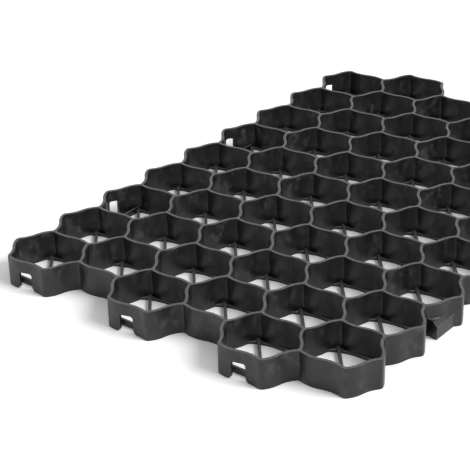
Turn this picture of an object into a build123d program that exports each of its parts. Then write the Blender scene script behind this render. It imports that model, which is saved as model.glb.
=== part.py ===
from build123d import *
import math
import os

# Gravel grid panel: one moulding of black plastic, a honeycomb of open cells with wavy walls.
# It lies flat. X runs along the long side, Y along the short side, Z up from the underside.
# Millimetres throughout.

# Overall size over the cell walls, without the hooks and before the corners are rounded
panel_length = 600.0
panel_width = 400.0
panel_height = 30.0

# Cell layout: rows of cells along X, columns along Y, every second column half a cell ahead
rows = 9
columns = 6
cross_share = 0.72         # chord of a wall that runs along Y, as a share of the column pitch

# Walls
wall = 2.8                 # thickness
wave_share = 0.04          # crest of the S-wave over its chord, as a share of the chord
cell_corner_radius = 3.0   # corner inside a cell
outer_corner_radius = 5.0  # corner on the outline of the panel
outer_nook_radius = 3.0    # re-entrant corner on the outline

# Base web with one oval opening in each cell, and a rib across it
base_thickness = 2.4
base_ledge = 1.7               # web left beside the opening, along X
rib_width = 2.8
rib_height = 4.2
rib_turn = 5.0                 # degrees, from the line between two opposite nodes

# Hooks on the far walls: a neck and a head bar across it
joint_clearance = 0.6          # between joined panels
hook_height = 17.0
hook_head_length = 26.0
hook_head_thickness = 2.4
far_neck_width = 11.8

# Hooks on the right walls: a block in the nook of the outline, with a lip along its face
side_hook_reach = 12.8         # along Y, from the nook to the face of the block
side_hook_chamfer = 4.0        # along the top of the face
side_lip_thickness = 4.8
side_lip_reach = 1.4           # along X, past the block
side_notch_width = 8.2
side_notch_offset = 3.0        # along X, from the outer corner of the notched cell

# Notches in the front and left walls, open at the bottom, for the hooks of the next panel
notch_headroom = 1.0
notch_corner_radius = 2.5
front_notch_lead = 5.0         # rounding at the mouth
side_notch_lead = 1.0

# Low web behind each notch, which closes the pocket for a hook
pocket_web_height = 6.2
pocket_web_thickness = 2.4

# Columns and rows that carry a joint
joint_columns = range(0, columns, 2)
joint_rows = range(2, rows, 3)

# Lattice worked out from the sizes above; the outer faces stay half a clearance inside it
pitch_y = (panel_width + joint_clearance) / (columns + 1 - cross_share)
cross_wall = cross_share * pitch_y
wave_height = wave_share * cross_wall
pitch_x = (panel_length + joint_clearance - 2 * wave_height) / (rows + 0.5)
half_x = pitch_x / 2
half_flat = cross_wall / 2
half_wide = pitch_y - half_flat
side_slope = (half_wide - half_flat) / half_x
wave_swing = math.degrees(2 * math.atan(4 * wave_share))
outer_inset = joint_clearance / 2
base_opening_width = pitch_x - wall - 2 * base_ledge
base_opening_length = 2 * half_wide

# Joint sizes that follow from the hooks, measured from the lattice line between two panels
hook_gap = outer_inset + wall + wave_height + joint_clearance
pocket_depth = hook_gap + hook_head_thickness + joint_clearance
pocket_length = hook_head_length + 2 * joint_clearance
notch_height = hook_height + notch_headroom


def cell_center(column, row):
    """Centre of a cell; columns count towards -Y and rows towards +X."""
    return Vector((row + 0.5 * (column % 2)) * pitch_x, -column * pitch_y)


def cell_nodes(column, row):
    """Six nodes of a cell, walked anticlockwise from the left-hand corner (+Y)."""
    at = cell_center(column, row)
    return [
        at + Vector(0, half_wide),
        at + Vector(-half_x, half_flat),
        at + Vector(-half_x, -half_flat),
        at + Vector(0, -half_wide),
        at + Vector(half_x, -half_flat),
        at + Vector(half_x, half_flat),
    ]


def after(nodes):
    """The next node for each node of a closed walk."""
    return nodes[1:] + nodes[:1]


def place_key(node):
    return round(node.X, 3), round(node.Y, 3)


def right_of(start, end):
    """Unit vector to the right-hand side of a chord."""
    chord = end - start
    return Vector(chord.Y, -chord.X).normalized()


def wall_corner(node, before, behind, first_shift, last_shift):
    """Point where the sides of two walls meet at a node, each shifted to the right of its centre line."""
    first = right_of(before, node).rotate(Axis.Z, -wave_swing)
    last = right_of(node, behind).rotate(Axis.Z, -wave_swing)
    turn = first.dot(last)
    along_first = first * (first_shift - turn * last_shift)
    along_last = last * (last_shift - turn * first_shift)
    return node + (along_first + along_last) * (1 / (1 - turn * turn))


def wall_side(start, end, first_corner, last_corner, shift):
    """Side of a wall: two arcs that leave each node to the right, shifted to the right."""
    chord = end - start
    right = right_of(start, end)
    crest = wave_share * chord.length
    middle = start + chord * 0.5 + right.rotate(Axis.Z, wave_swing) * shift
    return [
        ThreePointArc(first_corner, start + chord * 0.25 + right * (shift + crest), middle),
        ThreePointArc(middle, start + chord * 0.75 + right * (shift - crest), last_corner),
    ]


def wavy_face(nodes, shifts):
    """Face inside the wall sides through the nodes, which are walked anticlockwise."""
    meets = [wall_corner(*walls) for walls in zip(nodes, nodes[-1:] + nodes[:-1], after(nodes),
                                                  shifts[-1:] + shifts[:-1], shifts)]
    edges = []
    for side in zip(nodes, after(nodes), meets, after(meets), shifts):
        edges += wall_side(*side)
    return make_face(edges)


def corner_vertices(face, nodes):
    """Vertices of a face that lie at the given nodes."""
    return [v for v in face.vertices() if min((Vector(v) - n).length for n in nodes) < 2 * wall]


def is_nook(node, before, behind):
    """True where the outline, walked anticlockwise, turns clockwise."""
    first = node - before
    last = behind - node
    return first.X * last.Y - first.Y * last.X < 0


# Outer walls belong to one cell only; end to end they make the outline, walked anticlockwise
cells = [(column, row) for column in range(columns) for row in range(rows)]
cell_walls = {}
for column, row in cells:
    nodes = cell_nodes(column, row)
    for start, end in zip(nodes, after(nodes)):
        cell_walls[place_key(start), place_key(end)] = end
outer_walls = {start: node for (start, end), node in cell_walls.items() if (end, start) not in cell_walls}
outline = [next(iter(outer_walls.values()))]
while len(outline) < len(outer_walls):
    outline.append(outer_walls[place_key(outline[-1])])

# Outline of the panel
outline_walks = list(zip(outline, outline[-1:] + outline[:-1], after(outline)))
nooks = [walk[0] for walk in outline_walks if is_nook(*walk)]
corners = [walk[0] for walk in outline_walks if not is_nook(*walk)]
panel_face = wavy_face(outline, [-outer_inset] * len(outline))
panel_face = fillet(corner_vertices(panel_face, corners), outer_corner_radius)
panel_face = fillet(corner_vertices(panel_face, nooks), outer_nook_radius)


def cell_face(column, row):
    """Hole inside the walls of a cell; an outer wall lies wholly inside the lattice line."""
    nodes = cell_nodes(column, row)
    shifts = []
    for start, end in zip(nodes, after(nodes)):
        is_outer = place_key(start) in outer_walls and outer_walls[place_key(start)] == end
        shifts.append(-outer_inset - wall if is_outer else -wall / 2)
    face = wavy_face(nodes, shifts)
    return fillet(corner_vertices(face, nodes), cell_corner_radius)


base_face = Ellipse(base_opening_width / 2, base_opening_length / 2)

# Pockets in the base web, so that a hook can enter from below; beside them the web is closed
front_web_x = pocket_depth - half_x
front_strip_x = (front_web_x - half_x) / 2
front_strip = Pos(front_strip_x, 0) * Rectangle(pocket_depth, 2 * half_wide)
front_pocket = Pos(front_strip_x, 0) * Rectangle(pocket_depth, pocket_length)
side_web_y = half_flat + pocket_web_thickness / 2
side_strip_y = (side_web_y + half_wide) / 2
side_strip = Pos(0, side_strip_y) * Rectangle(2 * half_x, half_wide - side_web_y)
side_pocket = Pos(side_notch_offset, side_strip_y) * Rectangle(pocket_length, half_wide - side_web_y)


def is_front_joint(column, row):
    return row == 0 and column in joint_columns


def is_side_joint(column, row):
    return column == 0 and row in joint_rows


def base_opening(column, row):
    """Opening in the base web of a cell, inside its walls."""
    opening = base_face
    if is_front_joint(column, row):
        opening = opening - front_strip + front_pocket
    if is_side_joint(column, row):
        opening = opening - side_strip + side_pocket
    return cell_face(column, row) & Pos(cell_center(column, row)) * opening


def notch(plane, width, lead, depth):
    """Cutter for a notch that is open at the bottom, with rounded mouth and top corners."""
    half = width / 2
    top = notch_height - notch_corner_radius
    inner = half - notch_corner_radius
    edges = [
        Line((-half - lead, 0), (half + lead, 0)),
        CenterArc((half + lead, lead), lead, 180, 90),
        Line((half, lead), (half, top)),
        CenterArc((inner, top), notch_corner_radius, 0, 90),
        Line((inner, notch_height), (-inner, notch_height)),
        CenterArc((-inner, top), notch_corner_radius, 90, 90),
        Line((-half, top), (-half, lead)),
        CenterArc((-half - lead, lead), lead, 270, 90),
    ]
    return extrude(plane * make_face(edges), amount=depth, both=True)


def block(x_from, x_to, y_from, y_to, height):
    """Box from the underside up."""
    size_x = x_to - x_from
    size_y = y_to - y_from
    middle = Pos((x_from + x_to) / 2, (y_from + y_to) / 2, height / 2)
    return middle * Box(size_x, size_y, height)


# Far hook, rooted in the far wall of a cell
far_head_x = half_x + hook_gap
far_hook = block(half_x - outer_inset - wall / 2, far_head_x + hook_head_thickness, -far_neck_width / 2,
                 far_neck_width / 2, hook_height)
far_hook += block(far_head_x, far_head_x + hook_head_thickness, -hook_head_length / 2,
                  hook_head_length / 2, hook_height)
far_hook = chamfer(far_hook.edges().group_by(Axis.Z)[-1].sort_by(Axis.X)[-1], hook_head_thickness / 2)

# Side hook, rooted in the front right wall of a cell and running out where its face meets that wall
side_root_depth = wall * math.hypot(1, side_slope)
side_root_x = -half_x + side_notch_offset - side_notch_width / 2 + joint_clearance
side_face_y = -half_flat - side_hook_reach
side_lip_y = side_face_y + side_lip_thickness
side_lip_x = side_root_x - side_lip_reach
side_hook_face = make_face(Polyline(
    (side_root_x, -half_flat - side_slope * (side_root_x + half_x) + side_root_depth),
    (side_root_x, side_lip_y),
    (side_lip_x, side_lip_y),
    (side_lip_x, side_face_y),
    ((side_hook_reach + side_root_depth) / side_slope - half_x, side_face_y),
    close=True))
side_hook = extrude(side_hook_face, amount=hook_height)
side_hook = chamfer(side_hook.edges().group_by(Axis.Z)[-1].sort_by(Axis.Y)[0], side_hook_chamfer)

# Slab with the base openings right through and the hooks on it, then the cells cut down to the base web
slab_face = panel_face - [base_opening(column, row) for column, row in cells]
panel = extrude(slab_face, amount=panel_height)
panel += [Pos(cell_center(column, rows - 1)) * far_hook for column in joint_columns]
panel += [Pos(cell_center(columns - 1, row)) * side_hook for row in joint_rows]
panel -= [extrude(Pos(0, 0, base_thickness) * cell_face(column, row), amount=panel_height - base_thickness)
          for column, row in cells]

# Rib across the opening of each cell, from the far left wall to the front right wall, close to the nodes
rib_angle = math.atan2(half_flat, half_x) + math.radians(rib_turn)
rib_length = 2 * half_wide / (math.sin(rib_angle) + side_slope * math.cos(rib_angle))
rib = Rot(0, 0, math.degrees(rib_angle)) * Rectangle(rib_length, rib_width)

# Notch and pocket web in the front cells
front_web_length = 2 * (half_flat + side_slope * pocket_depth)
front_web = Pos(front_web_x + pocket_web_thickness / 2, 0) * Rectangle(pocket_web_thickness, front_web_length)
front_plane = Plane(origin=(-half_x + outer_inset + wall / 2, 0, 0), x_dir=(0, 1, 0), z_dir=(1, 0, 0))
front_notch = notch(front_plane, far_neck_width + 2 * joint_clearance, front_notch_lead,
                    wall + wave_height)

# Notch and pocket web in the left cells
side_web = Pos(0, half_flat) * Rectangle(2 * half_x, pocket_web_thickness)
side_wall_y = half_wide - side_slope * side_notch_offset - outer_inset - wall / 2
side_plane = Plane(origin=(side_notch_offset, side_wall_y, 0), x_dir=(1, 0, 0), z_dir=(0, -1, 0))
side_notch = notch(side_plane, side_notch_width, side_notch_lead,
                   wall + wave_height + side_slope * side_notch_width / 2)

# Ribs and webs end inside the outline
ribs = [Pos(cell_center(column, row)) * rib for column, row in cells]
webs = [Pos(cell_center(column, 0)) * front_web for column in joint_columns]
webs += [Pos(cell_center(0, row)) * side_web for row in joint_rows]
added = [extrude(panel_face & face, amount=rib_height) for face in ribs]
added += [extrude(panel_face & face, amount=pocket_web_height) for face in webs]
removed = [Pos(cell_center(column, 0)) * front_notch for column in joint_columns]
removed += [Pos(cell_center(0, row)) * side_notch for row in joint_rows]
panel = panel + added - removed

# Origin in the middle of the underside
box = panel.bounding_box()
panel = Pos(-box.center().X, -box.center().Y, -box.min.Z) * panel

os.makedirs("parts", exist_ok=True)
export_step(panel, "parts/grid_panel.step")
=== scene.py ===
import math

import bmesh
import bpy
from mathutils import Matrix, Vector


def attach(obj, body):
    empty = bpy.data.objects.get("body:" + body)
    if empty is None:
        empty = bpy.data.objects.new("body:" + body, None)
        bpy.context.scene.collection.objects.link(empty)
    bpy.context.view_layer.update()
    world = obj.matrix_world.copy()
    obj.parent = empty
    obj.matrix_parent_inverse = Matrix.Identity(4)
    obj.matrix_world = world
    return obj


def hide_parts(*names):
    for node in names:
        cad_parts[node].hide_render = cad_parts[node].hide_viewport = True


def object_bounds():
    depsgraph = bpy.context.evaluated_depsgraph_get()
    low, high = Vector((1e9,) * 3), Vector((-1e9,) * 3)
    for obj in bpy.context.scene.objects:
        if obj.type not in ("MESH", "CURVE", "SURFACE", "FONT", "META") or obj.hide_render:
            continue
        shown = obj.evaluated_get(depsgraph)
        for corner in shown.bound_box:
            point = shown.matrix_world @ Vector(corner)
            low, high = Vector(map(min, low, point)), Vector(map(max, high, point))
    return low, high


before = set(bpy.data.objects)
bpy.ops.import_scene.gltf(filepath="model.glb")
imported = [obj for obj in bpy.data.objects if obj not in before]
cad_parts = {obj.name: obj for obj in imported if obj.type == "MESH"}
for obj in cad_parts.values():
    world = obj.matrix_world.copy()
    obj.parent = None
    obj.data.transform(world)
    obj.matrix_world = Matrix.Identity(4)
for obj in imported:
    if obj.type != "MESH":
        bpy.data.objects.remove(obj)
cad_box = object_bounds()

# Grid panel: one injection moulding of black plastic, walls, base web, ribs and hooks together.
# The mould leaves small rounded edges, a fine grain, and hazy streaks where the wall was drawn off the steel.
MM = 0.001
EDGE_RADIUS = 0.35 * MM
EDGE_SEGMENTS = 2
WELD_DISTANCE = 0.001 * MM
SHARP_ANGLE = math.radians(40)

moulding_mesh = bpy.data.meshes.new("grid_panel_moulding")
shape = bmesh.new()
shape.from_mesh(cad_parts["grid_panel"].data)
bmesh.ops.remove_doubles(shape, verts=shape.verts, dist=WELD_DISTANCE)
on_edge = shape.faces.layers.float.new("on_edge")
faces_up = shape.faces.layers.float.new("faces_up")
outer_edges = [edge for edge in shape.edges if edge.is_convex and edge.calc_face_angle() > SHARP_ANGLE]
rounded = bmesh.ops.bevel(shape, geom=outer_edges, offset=EDGE_RADIUS, offset_type="OFFSET", affect="EDGES",
                          segments=EDGE_SEGMENTS, profile=0.5, material=-1, clamp_overlap=False)
for face in rounded["faces"]:
    face[on_edge] = 1.0
shape.normal_update()
for face in shape.faces:
    face[faces_up] = max(face.normal.z, 0.0)
bmesh.ops.triangulate(shape, faces=shape.faces)
shape.to_mesh(moulding_mesh)
shape.free()
moulding_mesh.shade_smooth()
moulding_mesh.set_sharp_from_angle(angle=SHARP_ANGLE)

moulding = bpy.data.objects.new("grid_panel_moulding", moulding_mesh)
bpy.context.collection.objects.link(moulding)
even_shading = moulding.modifiers.new("even_shading", "WEIGHTED_NORMAL")
even_shading.keep_sharp = True

BLACK = (0.006, 0.006, 0.0063, 1)
BLOOM = (0.062, 0.062, 0.063, 1)
SCUFF_AND_RIM_HIGHLIGHT = (0.12, 0.12, 0.12, 1)
DUST_AND_TOP_LIGHT = (0.12, 0.12, 0.118, 1)

# Haze lies in small patches, thinner in some broad areas and between the drag streaks.
EVEN_SPREAD = (0.35, 0.65)
DRAG_WIDTH = 1.6 * MM
DRAG_STRETCH = 30
PATCH_SIZE = 8 * MM
PATCH_STRETCH = 1.3
PATCH_SPREAD = (0.46, 0.76)
BROAD_SIZE = 45 * MM
HAZE_BY_DRAG = (0.75, 1.0)
HAZE_BY_AREA = (0.3, 1.0)

# Wear and a painted highlight lighten the wall rims, wear lightens the edges, and dust with painted light
# lies on the low faces that look up.
SPECKLE_SIZE = 2.2 * MM
SPECKLE_SPREAD = (0.4, 0.7)
RIM_STARTS_BELOW_TOP = 0.7 * MM
RIM_FULL_BELOW_TOP = 0.2 * MM
RIM_WEAR_AND_HIGHLIGHT = (0.45, 0.8)
EDGE_WEAR = (0.1, 0.6)
DUST_AND_TOP_LIGHT_FADE = (5 * MM, 8 * MM)
DUST_AND_TOP_LIGHT_COVER = (0.6, 0.9)

ROUGH_BY_HAZE = (0.38, 0.54)
ROUGH_BY_DRAG = (-0.03, 0.03)
ROUGH_BY_RIM = (0.0, 0.08)
SINK_SIZE = 22 * MM
SINK_STRETCH = 1.4
SINK_DEPTH = 0.6 * MM
SINK_STRENGTH = 0.25
GRAIN_SIZE = 0.8 * MM
GRAIN_DEPTH = 0.08 * MM
GRAIN_STRENGTH = 0.18

plastic = bpy.data.materials.new("moulded_black_plastic")
plastic.use_nodes = True
nodes = plastic.node_tree.nodes
links = plastic.node_tree.links
skin = nodes["Principled BSDF"]
place = nodes.new("ShaderNodeTexCoord").outputs["Object"]


def noise(size, detail, upright=1.0):
    """Noise with a feature size in metres; upright makes it longer along Z by that factor."""
    stretch = nodes.new("ShaderNodeMapping")
    stretch.inputs["Scale"].default_value = (1, 1, 1 / upright)
    links.new(place, stretch.inputs["Vector"])
    pattern = nodes.new("ShaderNodeTexNoise")
    pattern.inputs["Scale"].default_value = 1 / size
    pattern.inputs["Detail"].default_value = detail
    links.new(stretch.outputs["Vector"], pattern.inputs["Vector"])
    return pattern.outputs["Fac"]


def ramp(value, between=(0.0, 1.0), to=(0.0, 1.0)):
    """Value eased over the range it runs between, to another range."""
    ease = nodes.new("ShaderNodeMapRange")
    ease.interpolation_type = "SMOOTHSTEP"
    ease.inputs["From Min"].default_value, ease.inputs["From Max"].default_value = between
    ease.inputs["To Min"].default_value, ease.inputs["To Max"].default_value = to
    links.new(value, ease.inputs["Value"])
    return ease.outputs["Result"]


def combine(operation, first, second):
    """One number from two sockets."""
    step = nodes.new("ShaderNodeMath")
    step.operation = operation
    links.new(first, step.inputs[0])
    links.new(second, step.inputs[1])
    return step.outputs["Value"]


def tint(under, over, share):
    """Colour over another by a share; under is a colour or a socket."""
    layer = nodes.new("ShaderNodeMix")
    layer.data_type = "RGBA"
    links.new(share, layer.inputs["Factor"])
    if isinstance(under, tuple):
        layer.inputs["A"].default_value = under
    else:
        links.new(under, layer.inputs["A"])
    layer.inputs["B"].default_value = over
    return layer.outputs["Result"]


heights = nodes.new("ShaderNodeSeparateXYZ")
links.new(place, heights.inputs["Vector"])
edge_mark = nodes.new("ShaderNodeAttribute")
edge_mark.attribute_name = "on_edge"
up_mark = nodes.new("ShaderNodeAttribute")
up_mark.attribute_name = "faces_up"

drag = ramp(noise(DRAG_WIDTH, 2, DRAG_STRETCH), EVEN_SPREAD)
patches = ramp(noise(PATCH_SIZE, 6, PATCH_STRETCH), PATCH_SPREAD)
broad = ramp(noise(BROAD_SIZE, 2), EVEN_SPREAD)
streaked = combine("MULTIPLY", patches, ramp(drag, to=HAZE_BY_DRAG))
bloom = combine("MULTIPLY", streaked, ramp(broad, to=HAZE_BY_AREA))

panel_top = cad_box[1][2]
rim = ramp(heights.outputs["Z"], (panel_top - RIM_STARTS_BELOW_TOP, panel_top - RIM_FULL_BELOW_TOP))
speckle = ramp(noise(SPECKLE_SIZE, 3), SPECKLE_SPREAD)
# The wall rims are lightened partly as wear and partly as a painted highlight on the wall tops; the edges are
# lightened as wear only.
rim_scuff_and_highlight = combine("MULTIPLY", rim, ramp(speckle, to=RIM_WEAR_AND_HIGHLIGHT))
edge_scuff = combine("MULTIPLY", edge_mark.outputs["Fac"], ramp(speckle, to=EDGE_WEAR))
# Dust and painted light: the low faces that look up are lightened, partly as settled dust and partly as
# painted light falling on them from above.
low = ramp(heights.outputs["Z"], DUST_AND_TOP_LIGHT_FADE, (1.0, 0.0))
low_faces_up = combine("MULTIPLY", up_mark.outputs["Fac"], low)
dust_and_top_light = combine("MULTIPLY", low_faces_up, ramp(speckle, to=DUST_AND_TOP_LIGHT_COVER))

colour = tint(BLACK, BLOOM, bloom)
colour = tint(colour, DUST_AND_TOP_LIGHT, dust_and_top_light)
colour = tint(colour, SCUFF_AND_RIM_HIGHLIGHT, combine("MAXIMUM", rim_scuff_and_highlight, edge_scuff))
links.new(colour, skin.inputs["Base Color"])
gloss = combine("ADD", ramp(bloom, to=ROUGH_BY_HAZE), ramp(drag, to=ROUGH_BY_DRAG))
links.new(combine("ADD", gloss, ramp(rim, to=ROUGH_BY_RIM)), skin.inputs["Roughness"])

sink = nodes.new("ShaderNodeBump")
sink.inputs["Strength"].default_value = SINK_STRENGTH
sink.inputs["Distance"].default_value = SINK_DEPTH
links.new(noise(SINK_SIZE, 1, SINK_STRETCH), sink.inputs["Height"])
grain = nodes.new("ShaderNodeBump")
grain.inputs["Strength"].default_value = GRAIN_STRENGTH
grain.inputs["Distance"].default_value = GRAIN_DEPTH
links.new(combine("ADD", noise(GRAIN_SIZE, 2), drag), grain.inputs["Height"])
links.new(sink.outputs["Normal"], grain.inputs["Normal"])
links.new(grain.outputs["Normal"], skin.inputs["Normal"])
moulding_mesh.materials.append(plastic)

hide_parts("grid_panel")
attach(moulding, "root")

# Floor: a wide sheet of white card that the panel lies on.
# It is plain, matt and far larger than the view, so that it has no edge in the picture.
# To the eye and in reflections it is paler than the tone that it gives back as light.
FLOOR_HALF = 6.0
CARD_TONE = 0.9
CARD_SEEN = 1.3
CARD_ROUGHNESS = 0.9

card_mesh = bpy.data.meshes.new("floor_card")
card = bmesh.new()
bmesh.ops.create_grid(card, x_segments=1, y_segments=1, size=FLOOR_HALF)
card.to_mesh(card_mesh)
card.free()
floor = bpy.data.objects.new("floor_card", card_mesh)
bpy.context.collection.objects.link(floor)

white_card = bpy.data.materials.new("white_card")
white_card.use_nodes = True
card_nodes = white_card.node_tree.nodes
card_links = white_card.node_tree.links
card_skin = card_nodes["Principled BSDF"]
card_skin.inputs["Roughness"].default_value = CARD_ROUGHNESS
card_skin.inputs["Specular IOR Level"].default_value = 0.0
card_ray = card_nodes.new("ShaderNodeLightPath")
card_tone = card_nodes.new("ShaderNodeMapRange")
card_tone.inputs["To Min"].default_value = CARD_TONE
card_tone.inputs["To Max"].default_value = CARD_SEEN
card_seen = card_nodes.new("ShaderNodeMath")
card_seen.operation = "MAXIMUM"
card_links.new(card_ray.outputs["Is Camera Ray"], card_seen.inputs[0])
card_links.new(card_ray.outputs["Is Glossy Ray"], card_seen.inputs[1])
card_links.new(card_seen.outputs["Value"], card_tone.inputs["Value"])
card_links.new(card_tone.outputs["Result"], card_skin.inputs["Base Color"])
card_mesh.materials.append(white_card)

# Light: a broad soft source high on the right, and a pale room all round that fills the shade.
# The room shows white to the eye and in reflections, and fills the shade at a lower level.
KEY_FROM = Vector((0.25, -0.75, 0.7))
KEY_STRENGTH = 2.2
KEY_SPREAD = math.radians(34)
ROOM_FILL = 0.52

key_lamp = bpy.data.lights.new("key_lamp", "SUN")
key_lamp.energy = KEY_STRENGTH
key_lamp.angle = KEY_SPREAD
key = bpy.data.objects.new("key_lamp", key_lamp)
key.rotation_euler = KEY_FROM.to_track_quat("Z", "Y").to_euler()
bpy.context.collection.objects.link(key)

room = bpy.data.worlds.new("pale_room")
bpy.context.scene.world = room
room.use_nodes = True
room_nodes = room.node_tree.nodes
room_links = room.node_tree.links
backdrop = room_nodes["Background"]
backdrop.inputs["Color"].default_value = (1, 1, 1, 1)
ray = room_nodes.new("ShaderNodeLightPath")
seen = room_nodes.new("ShaderNodeMath")
seen.operation = "MAXIMUM"
room_links.new(ray.outputs["Is Camera Ray"], seen.inputs[0])
room_links.new(ray.outputs["Is Glossy Ray"], seen.inputs[1])
level = room_nodes.new("ShaderNodeMapRange")
level.inputs["To Min"].default_value = ROOM_FILL
level.inputs["To Max"].default_value = 1.0
room_links.new(seen.outputs["Value"], level.inputs["Value"])
room_links.new(level.outputs["Result"], backdrop.inputs["Strength"])

# Camera: a long lens from the front left, looking down on the panel.
# Place, aim and roll come from the photograph's own perspective.
CAMERA_PLACE = Vector((-1.1258, -0.7781, 0.7169))
CAMERA_AIM = Vector((-0.1176, 0.0525, 0.015))
CAMERA_ROLL = math.radians(-1.46)
LENS = 116.15
SENSOR = 36.0

lens = bpy.data.cameras.new("camera")
lens.sensor_width = SENSOR
lens.lens = LENS
camera = bpy.data.objects.new("camera", lens)
bpy.context.collection.objects.link(camera)
facing = (CAMERA_AIM - CAMERA_PLACE).to_track_quat("-Z", "Y").to_matrix().to_4x4()
camera.matrix_world = Matrix.Translation(CAMERA_PLACE) @ facing @ Matrix.Rotation(CAMERA_ROLL, 4, "Z")
bpy.context.scene.camera = camera
bpy.context.scene.view_settings.view_transform = "Standard"
